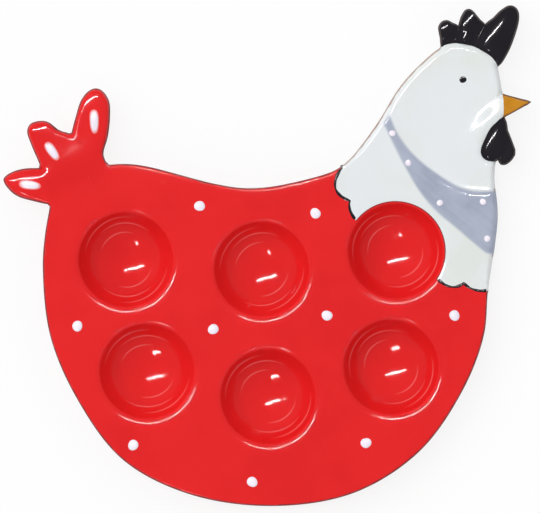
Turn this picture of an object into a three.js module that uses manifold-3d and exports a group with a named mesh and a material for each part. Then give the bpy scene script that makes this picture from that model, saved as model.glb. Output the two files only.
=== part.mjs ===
// Hen-shaped egg dish in glazed earthenware, lying flat, the hen facing +X.
// A slab with the hen's outline holds six egg cups. The tail feathers, comb, wattle and beak are puffed
// lobes luted to its edge. Dots, eye, brush strokes, neckerchief and neck line are raised slip on its top.
// Millimetres, +Z up. The origin is on the table, under the middle of the dish.

import * as THREE from 'three';
import { mergeVertices } from 'three/addons/utils/BufferGeometryUtils.js';
import Module from 'manifold-3d';

const wasm = await Module();
wasm.setup();

// Clearance between pieces that are luted together
const JOINT_GAP = 0.3;
// A distance that reaches past the dish from anywhere on it, for cutting
const FIELD = 150;

// Egg cups: the rim is level with the slab, the foot ring stands on the table
const CUP_RIM_RADIUS = 23.75;
const CUP_DEPTH = 13;
const CUP_BASE = 4;
const CUP_LIP = 1.2;
const CUP_WALL_SLOPE = 65;
const CUP_FLOOR_RADIUS = 13.5;
const CUP_FLOOR_SAG = 1.8;
const FOOT_RADIUS = 13;
const FOOT_WIDTH = 3.5;
const FOOT_RECESS = 0.8;
const CUP_SIDES = 24;
const CUP_CENTRES = [[-67, -2], [-2.5, -6.5], [61, 2], [-57, -55], [0.5, -67], [59, -53]];
const NECK_CUP = CUP_CENTRES[2];

// Slab
const SLAB_THICKNESS = 7;
const SLAB_EDGE = 2.5;
const EDGE_STEPS = 3;
const PLATE_TOP = CUP_BASE + CUP_DEPTH;
const PLATE_BOTTOM = PLATE_TOP - SLAB_THICKNESS;

// Seats of the luted pieces, on the slab's outline
const TAIL_ROOT_UPPER = [-76, 43];
const TAIL_ROOT_LOWER = [-103, 24];
const COMB_SEAT = [96.5, 99.5];
const BEAK_SEAT = [112, 74];
const WATTLE_SEAT = [112, 66];
const NECK_ROOT = [36.5, 43];
const NECK_FRONT = [105, -16.5];

// Outline of the slab, clockwise from the tail's upper corner to its lower one
const BACK = [TAIL_ROOT_UPPER, [-67.5, 43.5], [-58, 42.5], [-24.5, 34], [-10.5, 32], [4, 33], [30, 39.5]];
const NAPE = [NECK_ROOT, [43, 50], [53.5, 64.5], [62, 78.5], [70, 88]];
// The crown, from the comb's seat
const CROWN = [[-13.5, -0.5], [-7, 1], [0, 0], [6.5, -3], [11.5, -7], [13.5, -12.5]];
const FACE = [BEAK_SEAT, WATTLE_SEAT, [109, 47.5]];
const BREAST = [[108, 38], [109.5, 20], [108.5, 7.5], NECK_FRONT];
const BELLY = [[103, -38], [93, -64], [72.5, -93], [42, -112.5], [4, -119], [-36.5, -113.5]];
const FLANK = [[-68.5, -97], [-90, -68.5], [-103, -38], [-106.5, -6], [-105.5, 9.5], TAIL_ROOT_LOWER];
// Past the tail joint, from its middle: the slab is drawn on this far before the joint trims it
const TAIL_STUB = [[-20.5, -4.5], [-19.5, 6.5], [-9.5, 16.5], [1.5, 22.5], [9.5, 18.5]];
const OUTLINE_STEP = 5.5;

// Puffed lobes: heights over the widest line, and the part of the width that stays flat on top
const LOBE_DROP = 3.2;
const LOBE_MIDDLE = PLATE_BOTTOM + LOBE_DROP;
const LOBE_CREST = 0.42;
const LOBE_STEP = 2.4;
const PUFF_STEPS = 6;
const FEATHER_RISE = 5;
const COMB_RISE = 3.8;
const WATTLE_RISE = 5.2;
const BEAK_RISE = 3.4;

// Tail feathers, from the middle of the tail joint
const FEATHERS = {
  upper: {
    outline: [[21, 0], [12, 13.5], [14, 23], [15, 32], [14.5, 40], [11, 45], [8, 46], [4.5, 44.5], [1, 40],
      [-1.3, 33], [-3.5, 24], [-4, 10]],
    spine: [[6, 5], [7.5, 38]],
    stroke: [[7.7, 24.3], [7.3, 35.8]],
  },
  middle: {
    outline: [[6, 10], [-3.5, 24], [-9, 26], [-14.5, 30], [-18.5, 30.5], [-23, 29], [-24.5, 25.5],
      [-22.5, 19], [-19.5, 12], [-15, 2], [-5, -6]],
    spine: [[-3, 5], [-18.5, 24.5]],
    stroke: [[-9.6, 11.9], [-15.4, 20.1]],
  },
  lower: {
    outline: [[-4, 8], [-19.3, 8.1], [-25.5, 7.9], [-31.2, 6.4], [-35, 4], [-35.8, 2.2], [-33.2, -2.1],
      [-29.1, -5.4], [-20.9, -7.9], [-13.6, -9.4], [-2, -10]],
    spine: [[-6, 0], [-29, 1]],
    stroke: [[-17.8, -0.7], [-28.2, 0.7]],
  },
};
const STROKE_WIDTH = 4.4;
const STROKE_HEIGHT = 0.5;

// Comb, from its seat on the crown
const COMB_LOBES = {
  back: {
    outline: [[-13, -3], [-14.6, 4.4], [-15.3, 9], [-13.8, 11.5], [-11.4, 12.5], [-8.5, 11.3], [-4.5, 9],
      [-2, 3], [-4, -4]],
    spine: [[-8.5, 1], [-11.5, 8.5]],
  },
  middle: {
    outline: [[-8, -3], [-6.6, 5], [-5.6, 10.5], [-4, 15], [-1.3, 17.9], [1.6, 16.6], [4.2, 13.4], [8, 9.5],
      [9.5, 4], [7.5, -5]],
    spine: [[1, 1], [-1, 13.5]],
  },
  front: {
    outline: [[4, -5.5], [4.5, 6], [7, 10.7], [10.6, 13.4], [14.8, 17.4], [19.3, 19.5], [22.6, 17.5],
      [23.4, 13], [20.4, 2], [17, -5.2], [13.5, -9.7], [8, -11]],
    spine: [[12.5, -2], [17.5, 13.5]],
  },
};

// Wattle, from its seat under the beak
const WATTLE_LOBES = {
  rear: {
    outline: [[0.5, 0], [-2.8, -2.6], [-5.9, -5.7], [-8.6, -10.9], [-10.2, -15.1], [-10.2, -18], [-8.6, -20.2],
      [-5, -21.2], [-1.6, -20.6], [1.5, -15], [2.5, -6]],
    spine: [[-1.5, -5], [-5, -16]],
  },
  front: {
    outline: [[0.5, 0], [2.2, -5.6], [4.7, -12], [6.2, -17.3], [3.6, -21.5], [0.4, -23.2], [-1.8, -22.3],
      [-2.6, -18], [-2, -7]],
    spine: [[0.5, -6], [2, -18]],
  },
};

// Beak, from its seat on the face
const BEAK = {
  outline: [[13.7, -1], [9, -3.9], [5, -6.2], [0.6, -8.5], [-2, -9.7], [-2, 3.4], [0.6, 2.7], [5, 1.5], [9.5, 0.3]],
  spine: [[0, -2.5], [9, -1.2]],
};

// Scallops between the white neck and the red body: ends and the points that pull them out
const NECK_LINE = {
  upper: [[NECK_ROOT, [27, 30.5], [39.5, 26]], [[39.5, 26], [38, 21.5], [43, 16]]],
  lower: [[[79.5, -9.5], [87, -18], [93.5, -13]], [[93.5, -13], [97.5, -17.5], NECK_FRONT]],
};
const NECK_LINE_WIDTH = 1.3;
const NECK_LINE_HEIGHT = 0.4;
const SCALLOP_STEPS = 8;

// Neckerchief: a raised layer between two curves across the neck
const SCARF_UPPER = [[57.5, 68], [62.5, 57], [71, 46.5], [82, 38], [92.5, 32], [101, 30.5], [112, 31]];
const SCARF_LOWER = [[112, -5], [100, 4.5], [89.5, 13.5], [80.5, 21], [72.5, 30.5], [64, 45], [54, 65.5]];
const SCARF_THICKNESS = 0.4;

// Raised dots and the eye
const DOT_HEIGHT = 0.6;
const DOT_SIDES = 12;
const BODY_DOT_RADIUS = 2.5;
const BODY_DOTS = [[-32, 23.5], [23, 20], [-90, -33.5], [-25.5, -35], [28.5, -28.5], [89, -28.5],
  [-63.5, -90], [47, -89], [-7, -107.5]];
const SCARF_DOT_RADIUS = 1.6;
const SCARF_DOTS = [[59.5, 58], [67, 44], [82, 25], [102.5, 25.5], [104.5, 8]];
const EYE_RADIUS = 1.7;
const EYE_CENTRE = [93, 83.5];

// Glazes
const glaze = (color, roughness) => new THREE.MeshStandardMaterial({ color, roughness, metalness: 0 });
const redGlaze = () => glaze(0xe02a28, 0.12);
const whiteGlaze = () => glaze(0xe4e6e4, 0.15);
const blackGlaze = () => glaze(0x17151a, 0.12);
const ochreGlaze = () => glaze(0xcf922b, 0.2);
const greyGlaze = () => glaze(0xacb2c4, 0.25);
const whiteSlip = () => glaze(0xf4eaf0, 0.3);

// Points and curves
const point = ([x, y]) => new THREE.Vector2(x, y);
const shifted = (points, [x, y]) => points.map((p) => [p[0] + x, p[1] + y]);

function curveThrough(points, closed, step) {
  const knots = points.map(([x, y]) => new THREE.Vector3(x, y, 0));
  const curve = new THREE.CatmullRomCurve3(knots, closed, 'centripetal');
  const spaced = curve.getSpacedPoints(Math.round(curve.getLength() / step));
  if (closed) spaced.pop();
  return spaced.map((p) => new THREE.Vector2(p.x, p.y));
}

function scallops(arcs) {
  const line = [point(arcs[0][0])];
  for (const [from, pull, to] of arcs) {
    const arc = new THREE.QuadraticBezierCurve(point(from), point(pull), point(to));
    line.push(...arc.getPoints(SCALLOP_STEPS).slice(1));
  }
  return line;
}

// Solids from geometries, and geometries from solids
function solidOf(geometry) {
  const bare = geometry.clone();
  bare.deleteAttribute('normal');
  bare.deleteAttribute('uv');
  const merged = mergeVertices(bare, 1e-4);
  return new wasm.Manifold(new wasm.Mesh({
    numProp: 3,
    vertProperties: new Float32Array(merged.attributes.position.array),
    triVerts: new Uint32Array(merged.index.array),
  }));
}

function geometryOf(solid) {
  const mesh = solid.getMesh();
  const geometry = new THREE.BufferGeometry();
  geometry.setAttribute('position', new THREE.BufferAttribute(mesh.vertProperties, 3));
  geometry.setIndex(new THREE.BufferAttribute(mesh.triVerts, 1));
  geometry.computeVertexNormals();
  return geometry;
}

// A slab with rounded edges; grow widens it on every side
function slab(outline, grow = 0) {
  const geometry = new THREE.ExtrudeGeometry(new THREE.Shape(outline), {
    depth: SLAB_THICKNESS + 2 * grow - 2 * SLAB_EDGE,
    bevelThickness: SLAB_EDGE,
    bevelSize: SLAB_EDGE,
    bevelOffset: grow - SLAB_EDGE,
    bevelSegments: EDGE_STEPS,
  });
  geometry.translate(0, 0, PLATE_BOTTOM - grow + SLAB_EDGE);
  return solidOf(geometry);
}

// A flat layer of slip on the plate
function layer(outline, thickness) {
  const options = { depth: thickness, bevelEnabled: false };
  const geometry = new THREE.ExtrudeGeometry(new THREE.Shape(outline), options);
  geometry.translate(0, 0, PLATE_TOP);
  return solidOf(geometry);
}

// An upright prism that runs past the whole dish, for cutting; grow moves its walls out
function cutter(outline, grow = 0) {
  const geometry = new THREE.ExtrudeGeometry(new THREE.Shape(outline), {
    depth: 2 * PLATE_TOP,
    bevelThickness: PLATE_TOP,
    bevelSize: 0,
    bevelOffset: grow,
    bevelSegments: 1,
  });
  geometry.translate(0, 0, -PLATE_TOP / 2);
  return solidOf(geometry);
}

// A puffed lobe: its outline is drawn in to a spine as it rises to the crest and falls to the underside
function puff({ outline, spine }, seat, rise) {
  const edge = curveThrough(shifted(outline, seat), true, LOBE_STEP);
  if (THREE.ShapeUtils.isClockWise(edge)) edge.reverse();
  const [start, end] = shifted(spine, seat).map(([x, y]) => new THREE.Vector3(x, y, 0));
  const line = new THREE.Line3(start, end);
  const rootOf = (p) => line.closestPointToPoint(new THREE.Vector3(p.x, p.y, 0), true, new THREE.Vector3());
  const roots = edge.map(rootOf);
  const positions = [];
  for (let k = 0; k <= PUFF_STEPS; k += 1) {
    const angle = (k / PUFF_STEPS - 0.5) * Math.PI;
    const reach = LOBE_CREST + (1 - LOBE_CREST) * Math.cos(angle);
    const height = LOBE_MIDDLE + Math.sin(angle) * (angle < 0 ? LOBE_DROP : rise);
    edge.forEach((p, i) => {
      const x = THREE.MathUtils.lerp(roots[i].x, p.x, reach);
      const y = THREE.MathUtils.lerp(roots[i].y, p.y, reach);
      positions.push(x, y, height);
    });
  }
  const count = edge.length;
  const faces = [];
  for (let k = 0; k < PUFF_STEPS; k += 1) {
    for (let i = 0; i < count; i += 1) {
      const a = k * count + i;
      const b = k * count + ((i + 1) % count);
      faces.push(a, b, b + count, a, b + count, a + count);
    }
  }
  const crown = PUFF_STEPS * count;
  for (const [a, b, c] of THREE.ShapeUtils.triangulateShape(edge, [])) {
    faces.push(crown + a, crown + b, crown + c, a, c, b);
  }
  const geometry = new THREE.BufferGeometry();
  geometry.setAttribute('position', new THREE.Float32BufferAttribute(positions, 3));
  geometry.setIndex(faces);
  return solidOf(geometry);
}

const joined = (lobes) => lobes.reduce((whole, lobe) => whole.add(lobe));

// A turned form about the Z axis
function turned(profile, sides) {
  const geometry = new THREE.LatheGeometry(profile.map(point), sides);
  geometry.rotateX(Math.PI / 2);
  return geometry;
}

// A low dome on a flat bottom
function dome(radius, height) {
  return turned([[0, 0], [radius, 0], [0.72 * radius, 0.7 * height], [0, height]], DOT_SIDES);
}

// Outlines that several pieces share
const henKnots = [...BACK, ...NAPE, ...shifted(CROWN, COMB_SEAT), ...FACE, ...BREAST, ...BELLY, ...FLANK];
const henEdge = curveThrough(henKnots, false, OUTLINE_STEP);
const tailSeat = point(TAIL_ROOT_UPPER).add(point(TAIL_ROOT_LOWER)).multiplyScalar(0.5).toArray();
const henOutline = [...henEdge, ...shifted(TAIL_STUB, tailSeat).map(point)];
const flatTop = cutter(henOutline, -SLAB_EDGE - JOINT_GAP);

// Everything beyond the tail joint, from a plane at a given distance outside it
function beyondTailJoint(distance) {
  const along = point(TAIL_ROOT_UPPER).sub(point(TAIL_ROOT_LOWER)).normalize();
  const out = new THREE.Vector2(-along.y, along.x);
  const corner = (a, b) => point(tailSeat).addScaledVector(along, a).addScaledVector(out, b);
  const near = [corner(-FIELD, distance), corner(FIELD, distance)];
  return cutter([...near, corner(FIELD, FIELD), corner(-FIELD, FIELD)]);
}

// Everything on the neck's side of the scalloped line, which runs on through the neck's egg cup
const neckOutline = [
  ...scallops(NECK_LINE.upper),
  point(NECK_CUP),
  ...scallops(NECK_LINE.lower),
  point([FIELD, NECK_FRONT[1]]),
  point([FIELD, FIELD]),
  point([NECK_ROOT[0], FIELD]),
];

function cupHole([x, y]) {
  const geometry = new THREE.CylinderGeometry(
    CUP_RIM_RADIUS + JOINT_GAP, CUP_RIM_RADIUS + JOINT_GAP, 6 * PLATE_TOP, CUP_SIDES);
  geometry.rotateX(Math.PI / 2);
  geometry.translate(x, y, 0);
  return solidOf(geometry);
}
const cupHoles = joined(CUP_CENTRES.map(cupHole));

function makeWattle() {
  return joined(Object.values(WATTLE_LOBES).map((lobe) => puff(lobe, WATTLE_SEAT, WATTLE_RISE)));
}

function wattlePocket() {
  const edges = Object.values(WATTLE_LOBES).map(
    (lobe) => curveThrough(shifted(lobe.outline, WATTLE_SEAT), true, LOBE_STEP));
  return joined(edges.map((edge) => cutter(edge, JOINT_GAP)));
}

function makeBodyPlate() {
  return slab(henOutline)
    .subtract(beyondTailJoint(0))
    .subtract(cutter(neckOutline, JOINT_GAP))
    .subtract(cupHoles);
}

function makeNeckAndHead() {
  return slab(henOutline)
    .intersect(cutter(neckOutline))
    .subtract(wattlePocket())
    .subtract(cupHoles);
}

function makeFeathers() {
  const outside = beyondTailJoint(JOINT_GAP);
  const middleEdge = curveThrough(shifted(FEATHERS.middle.outline, tailSeat), true, LOBE_STEP);
  const beside = cutter(middleEdge, JOINT_GAP);
  const lobe = (name) => puff(FEATHERS[name], tailSeat, FEATHER_RISE).intersect(outside);
  return {
    upper: lobe('upper').subtract(beside),
    middle: lobe('middle'),
    lower: lobe('lower').subtract(beside),
  };
}

function makeComb() {
  const lobes = Object.values(COMB_LOBES).map((lobe) => puff(lobe, COMB_SEAT, COMB_RISE));
  return joined(lobes).subtract(slab(henOutline, JOINT_GAP));
}

function makeBeak() {
  return puff(BEAK, BEAK_SEAT, BEAK_RISE)
    .subtract(slab(henOutline, JOINT_GAP))
    .subtract(wattlePocket());
}

// A turned cup: foot ring, outer bowl, collar, rolled lip, wall and floor
function makeCup() {
  const footInner = FOOT_RADIUS - FOOT_WIDTH;
  const lipEnd = Math.PI / 2 + THREE.MathUtils.degToRad(CUP_WALL_SLOPE);
  const lip = new THREE.EllipseCurve(
    CUP_RIM_RADIUS, PLATE_TOP - CUP_LIP, CUP_LIP, CUP_LIP, Math.PI / 2, lipEnd);
  const wallTop = lip.getPoint(1);
  const floorEdge = point([CUP_FLOOR_RADIUS, CUP_BASE + CUP_FLOOR_SAG]);
  const wallBend = point([
    THREE.MathUtils.lerp(floorEdge.x, wallTop.x, 0.62), THREE.MathUtils.lerp(floorEdge.y, wallTop.y, 0.29)]);
  const outside = new THREE.CubicBezierCurve(
    point([FOOT_RADIUS, 0]),
    point([FOOT_RADIUS + 0.45 * (CUP_RIM_RADIUS - FOOT_RADIUS), 0.2 * PLATE_BOTTOM]),
    point([CUP_RIM_RADIUS, 0.55 * PLATE_BOTTOM]),
    point([CUP_RIM_RADIUS, PLATE_BOTTOM]));
  const wall = new THREE.QuadraticBezierCurve(wallTop, wallBend, floorEdge);
  const floor = new THREE.QuadraticBezierCurve(
    floorEdge, point([0.5 * CUP_FLOOR_RADIUS, CUP_BASE]), point([0, CUP_BASE]));
  const pairs = (curve, steps) => curve.getPoints(steps).map((p) => [p.x, p.y]);
  return turned([
    [0, FOOT_RECESS],
    [footInner - FOOT_RECESS, FOOT_RECESS],
    [footInner, 0],
    ...pairs(outside, 4),
    ...pairs(lip, 3),
    ...pairs(wall, 4).slice(1),
    ...pairs(floor, 3).slice(1),
  ], CUP_SIDES);
}

function makeScarf() {
  const upper = curveThrough(SCARF_UPPER, false, OUTLINE_STEP);
  const lower = curveThrough(SCARF_LOWER, false, OUTLINE_STEP);
  return layer([...upper, ...lower], SCARF_THICKNESS).intersect(flatTop);
}

// A ribbon of slip along the scallops, trimmed at the rounded edge and at the cup
function makeNeckLine(arcs) {
  const line = scallops(arcs);
  const sides = line.map((p, i) => {
    const before = line[Math.max(i - 1, 0)];
    const after = line[Math.min(i + 1, line.length - 1)];
    const along = after.clone().sub(before).normalize();
    return new THREE.Vector2(-along.y, along.x).multiplyScalar(NECK_LINE_WIDTH / 2);
  });
  const left = line.map((p, i) => p.clone().add(sides[i]));
  const right = line.map((p, i) => p.clone().sub(sides[i])).reverse();
  return layer([...left, ...right], NECK_LINE_HEIGHT).intersect(flatTop).subtract(cupHoles);
}

// Assembly
const dish = new THREE.Group();
dish.name = 'hen_egg_dish';

function place(name, geometry, material, [x, y, z] = [0, 0, 0], turn = 0, group = dish) {
  const mesh = new THREE.Mesh(geometry, material);
  mesh.name = name;
  mesh.position.set(x, y, z);
  mesh.rotation.z = THREE.MathUtils.degToRad(turn);
  group.add(mesh);
}

place('body_plate', geometryOf(makeBodyPlate()), redGlaze());
place('neck_and_head', geometryOf(makeNeckAndHead()), whiteGlaze());
place('comb', geometryOf(makeComb()), blackGlaze());
place('wattle', geometryOf(makeWattle()), blackGlaze());
place('beak', geometryOf(makeBeak()), ochreGlaze());
CUP_CENTRES.forEach(([x, y], i) => place(`egg_cup_${i + 1}`, makeCup(), redGlaze(), [x, y, 0]));

const tail = new THREE.Group();
dish.add(tail);
for (const [name, solid] of Object.entries(makeFeathers())) {
  place(`tail_feather_${name}`, geometryOf(solid), redGlaze(), [0, 0, 0], 0, tail);
  const [from, to] = shifted(FEATHERS[name].stroke, tailSeat).map(point);
  const along = to.clone().sub(from);
  const centre = from.clone().add(to).multiplyScalar(0.5);
  const stroke = dome(1, STROKE_HEIGHT).scale(along.length() / 2, STROKE_WIDTH / 2, 1);
  const turn = THREE.MathUtils.radToDeg(along.angle());
  const seat = [centre.x, centre.y, LOBE_MIDDLE + FEATHER_RISE];
  place(`feather_stroke_${name}`, stroke, whiteSlip(), seat, turn, tail);
}

place('neckerchief', geometryOf(makeScarf()), greyGlaze());
SCARF_DOTS.forEach(([x, y], i) => {
  const dot = dome(SCARF_DOT_RADIUS, DOT_HEIGHT);
  place(`neckerchief_dot_${i + 1}`, dot, whiteSlip(), [x, y, PLATE_TOP + SCARF_THICKNESS]);
});
BODY_DOTS.forEach(([x, y], i) => {
  const dot = dome(BODY_DOT_RADIUS, DOT_HEIGHT);
  place(`body_dot_${i + 1}`, dot, whiteSlip(), [x, y, PLATE_TOP]);
});
place('eye', dome(EYE_RADIUS, DOT_HEIGHT), blackGlaze(), [...EYE_CENTRE, PLATE_TOP]);
place('neck_line_upper', geometryOf(makeNeckLine(NECK_LINE.upper)), blackGlaze());
place('neck_line_lower', geometryOf(makeNeckLine(NECK_LINE.lower)), blackGlaze());

export default dish;
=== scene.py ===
"""Looks of a hen-shaped egg dish: red glazed earthenware with six egg cups, a white neck and raised slip.

Outlines are read from the solids and drawn as smooth curves. Each piece is filled with fine triangles,
its edge is rounded and its lobes are puffed, as glaze leaves a casting. Lengths are in millimetres until
a mesh is made.
"""

import math

import bmesh
import bpy
import numpy as np
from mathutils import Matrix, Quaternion, Vector
from mathutils.bvhtree import BVHTree
from mathutils.geometry import delaunay_2d_cdt


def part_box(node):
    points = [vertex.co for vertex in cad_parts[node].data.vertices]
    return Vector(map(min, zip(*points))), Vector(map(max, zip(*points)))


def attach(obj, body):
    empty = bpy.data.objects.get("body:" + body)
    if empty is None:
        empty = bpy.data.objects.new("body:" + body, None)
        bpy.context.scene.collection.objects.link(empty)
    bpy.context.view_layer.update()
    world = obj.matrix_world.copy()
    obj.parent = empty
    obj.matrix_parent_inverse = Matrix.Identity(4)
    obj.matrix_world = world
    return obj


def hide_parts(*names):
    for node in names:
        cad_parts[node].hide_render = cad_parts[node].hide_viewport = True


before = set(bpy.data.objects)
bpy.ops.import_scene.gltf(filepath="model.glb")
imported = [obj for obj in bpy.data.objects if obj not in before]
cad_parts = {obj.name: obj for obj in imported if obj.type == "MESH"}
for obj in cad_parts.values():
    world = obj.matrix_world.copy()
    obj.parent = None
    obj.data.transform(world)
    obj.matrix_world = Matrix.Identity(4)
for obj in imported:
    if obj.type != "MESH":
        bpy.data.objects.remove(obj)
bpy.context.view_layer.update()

MM = 0.001
# How far luted pieces reach into the gap between their solids, which glaze fills
LUTING = 0.2
FEATHER_LUTING = 0.6
# Pieces this close to each other's outline are luted together
LUTED = 1.0
# Distance between the points of an outline, and the length from which its sides are straight cuts
OUTLINE_STEP = 0.8
STRAIGHT = 8.0

CUPS = [f"egg_cup_{i}" for i in range(1, 7)]
FEATHERS = ["tail_feather_upper", "tail_feather_middle", "tail_feather_lower"]
CASTING = ["body_plate", "neck_and_head", *FEATHERS, "comb", "wattle", "beak"]

# How far in the edges are rounded, and how long a piece takes to leave the rounding of the body
BODY_ROUND = 0.9
EDGE_ROUND = {"body_plate": BODY_ROUND, "neck_and_head": 2.5, "comb": 1.3, "wattle": 1.3, "beak": 0.9}
EDGE_ROUND.update({feather: 2.0 for feather in FEATHERS})
BLEND = 15.0
# How far in from an edge the glaze is darkened: partly thin glaze, partly painted shade
EDGE_TONE_FADE = 1.2
# The glaze sags a little towards the body's edge
SHOULDER = 0.3
SHOULDER_REACH = 0.5
# Puffed feathers: height of the puff and how far in from the edge it rises
PUFF_HEIGHT = 0.84
PUFF_REACH = 5.0
# The glaze lies lower in the notch between the two upper feathers
NOTCH = (-92.2, 58.0)
NOTCH_EASE = 0.85
NOTCH_REACH = 17.0
# Ridges along the lobes of comb and wattle: middle, half length, half width and angle
RIDGES = {
    "comb": [
        ((85.0, 107.5), 7.0, 5.5, 63),
        ((96.5, 110.9), 11.0, 5.5, 64),
        ((94.3, 103.5), 8.0, 3.4, 78),
        ((109.3, 105.7), 13.5, 6.0, 60),
    ],
    "wattle": [((106.7, 52.6), 13.0, 5.8, 71)],
}
RIDGE_RISE = 0.95
RIDGE_FOOT = {"comb": -0.8, "wattle": -0.2}
RIDGE_BLEND = 0.07
# Grooves where two glazes meet
GROOVE_WIDTH = 1.0
GROOVES = {
    ("neck_and_head", "comb"): 0.5,
    ("neck_and_head", "wattle"): 0.5,
    ("beak", "wattle"): 0.4,
}
# The plate dips a little round each cup
CUP_DIP = 0.2
CUP_DIP_REACH = 1.0

# Relief of the neck: the cheek's slope above the wattle, and the neckerchief's soft edges
CHEEK_MIDDLE = (101.6, 64.9)
CHEEK_FACES = math.radians(140)
CHEEK_RISE = 0.73
CHEEK_SLOPE = 3.5
CHEEK_LENGTH = 8.5
SCARF_RISE = 0.52
SCARF_SLOPE = 3.0
# The wash of the neckerchief: how far it fades out, its thickness at the edge and what the middle adds,
# how near the rim it is carried over it, and where along x the breast begins
SCARF_FADE = 1.6
SCARF_THIN = 0.03
SCARF_THICK = 0.12
SCARF_CARRY = 3.2
BREAST = 90.0

# Egg cups: rolled lip, bowl and foot ring
CUP_LIP = 2.0
CUP_WALL_SLOPE = 65
CUP_FLOOR = 4.0
CUP_FLOOR_RADIUS = 10.0
CUP_FLOOR_CURVE = 0.00985
CUP_RIPPLE = 0.02
FOOT_RADIUS = 13.0
FOOT_WIDTH = 3.5
FOOT_RECESS = 0.8
CUP_SIDES = 128
# Pale arcs painted in the cups' glaze as highlights: radius and the direction in which each one shows
CUP_GLINT_ARCS = [(12.8, 130), (17.2, 105), (20.0, 140)]
CUP_GLINT_WIDTH = 0.22
CUP_GLINT_WOBBLE = 0.3
# The cups' floors lean a little towards this place on the dish, less and less up the wall
CUP_LEAN = 0.00058
CUP_LEAN_MIDDLE = (8.0, -43.0)
CUP_LEAN_FADE = 9.0

# Heights of the slip and paint over the glaze, and how far they reach down into it
BODY_DOT_HEIGHT = 0.55
SCARF_DOT_HEIGHT = 0.45
EYE_HEIGHT = 0.1
STROKE_HEIGHT = 0.3
NECK_LINE_HEIGHT = 0.1
NECK_LINE_WIDTH = 1.2
SLIP_ROOT = 0.3
# The feathers' brush strokes are drawn away from this place
TAIL_ROOT = (-70.0, 20.0)


def corners(node):
    """Lowest and highest corner of a solid, in millimetres."""
    low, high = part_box(node)
    return np.array(low) / MM, np.array(high) / MM


BOTTOM = corners("body_plate")[0][2]
TOP = corners("body_plate")[1][2]
MIDDLE = (BOTTOM + TOP) / 2


# Curves and outlines

def curve(knots, closed, step):
    """Points along a centripetal Catmull-Rom curve through the knots."""
    if closed:
        padded = np.vstack([knots[-1:], knots, knots[:2]])
    else:
        padded = np.vstack([2 * knots[:1] - knots[1:2], knots, 2 * knots[-1:] - knots[-2:-1]])
    points = []
    for p0, p1, p2, p3 in zip(padded, padded[1:], padded[2:], padded[3:]):
        t1 = np.linalg.norm(p1 - p0) ** 0.5
        t2 = t1 + np.linalg.norm(p2 - p1) ** 0.5
        t3 = t2 + np.linalg.norm(p3 - p2) ** 0.5
        count = max(1, round(np.linalg.norm(p2 - p1) / step))
        t = np.linspace(t1, t2, count, endpoint=False)[:, None]
        a1 = (t1 - t) / t1 * p0 + t / t1 * p1
        a2 = (t2 - t) / (t2 - t1) * p1 + (t - t1) / (t2 - t1) * p2
        a3 = (t3 - t) / (t3 - t2) * p2 + (t - t2) / (t3 - t2) * p3
        b1 = (t2 - t) / t2 * a1 + t / t2 * a2
        b2 = (t3 - t) / (t3 - t1) * a2 + (t - t1) / (t3 - t1) * a3
        points.append((t2 - t) / (t2 - t1) * b1 + (t - t1) / (t2 - t1) * b2)
    if not closed:
        points.append(knots[-1:])
    return np.vstack(points)


def bent_points(loop):
    """The points of a loop where it bends, without those that lie on a straight side."""
    kept = []
    for i, p in enumerate(loop):
        before = kept[-1] if kept else loop[i - 1]
        chord = loop[(i + 1) % len(loop)] - before
        away = p - before
        if abs(chord[0] * away[1] - chord[1] * away[0]) > 0.0015 * np.linalg.norm(chord):
            kept.append(p)
    return np.array(kept)


def section(node, height):
    """Loops where a level plane cuts a solid, with the clay on their left."""
    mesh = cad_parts[node].data
    mesh.calc_loop_triangles()
    points = np.array([v.co for v in mesh.vertices]) / MM

    def crossing(low, high):
        share = (height - points[low, 2]) / (points[high, 2] - points[low, 2])
        return tuple(np.round(points[low, :2] + share * (points[high, :2] - points[low, :2]), 3))

    onward = {}
    for triangle in mesh.loop_triangles:
        ring = list(triangle.vertices)
        falls = rises = None
        for i, j in zip(ring, ring[1:] + ring[:1]):
            if points[i, 2] > height >= points[j, 2]:
                falls = crossing(j, i)
            elif points[j, 2] > height >= points[i, 2]:
                rises = crossing(i, j)
        if falls is not None and falls != rises:
            onward[falls] = rises
    loops = []
    while onward:
        start, at = onward.popitem()
        loop = [start]
        while at != start:
            loop.append(at)
            at = onward.pop(at)
        loops.append(bent_points(np.array(loop)))
    return loops


def drawn(loop):
    """A loop drawn as a curve that keeps its straight cuts, sharp corners and notches."""
    before = loop - np.roll(loop, 1, 0)
    after = np.roll(loop, -1, 0) - loop
    cross = before[:, 0] * after[:, 1] - before[:, 1] * after[:, 0]
    turn = np.degrees(np.arctan2(cross, (before * after).sum(1)))
    cut = np.linalg.norm(after, axis=1) > STRAIGHT
    sharp = np.flatnonzero((turn > 62) | (turn < -35) | cut | np.roll(cut, 1))
    if not len(sharp):
        return curve(loop, True, OUTLINE_STEP)
    ring = np.roll(loop, -sharp[0], 0)
    ring = np.vstack([ring, ring[:1]])
    marks = [*(sharp - sharp[0]), len(loop)]
    runs = [ring[a:b + 1] for a, b in zip(marks, marks[1:])]
    return np.vstack([curve(run, False, OUTLINE_STEP)[:-1] for run in runs])


def sides(loop):
    """The segments of a closed loop."""
    return np.stack([loop, np.roll(loop, -1, 0)], 1)


def across(loop):
    """Unit vectors that point from a loop into the clay."""
    along = np.roll(loop, -1, 0) - np.roll(loop, 1, 0)
    along /= np.linalg.norm(along, axis=1)[:, None]
    return np.c_[-along[:, 1], along[:, 0]]


def distance(points, lines):
    """Distance from each point to the nearest of some segments."""
    start = lines[:, 0]
    along = lines[:, 1] - start
    length = (along ** 2).sum(1)
    nearest = []
    for some in np.array_split(points, len(points) // 1500 + 1):
        away = some[:, None] - start
        share = np.clip((away * along).sum(2) / length, 0, 1)
        nearest.append(((away - share[..., None] * along) ** 2).sum(2).min(1))
    return np.sqrt(np.concatenate(nearest))


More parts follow.
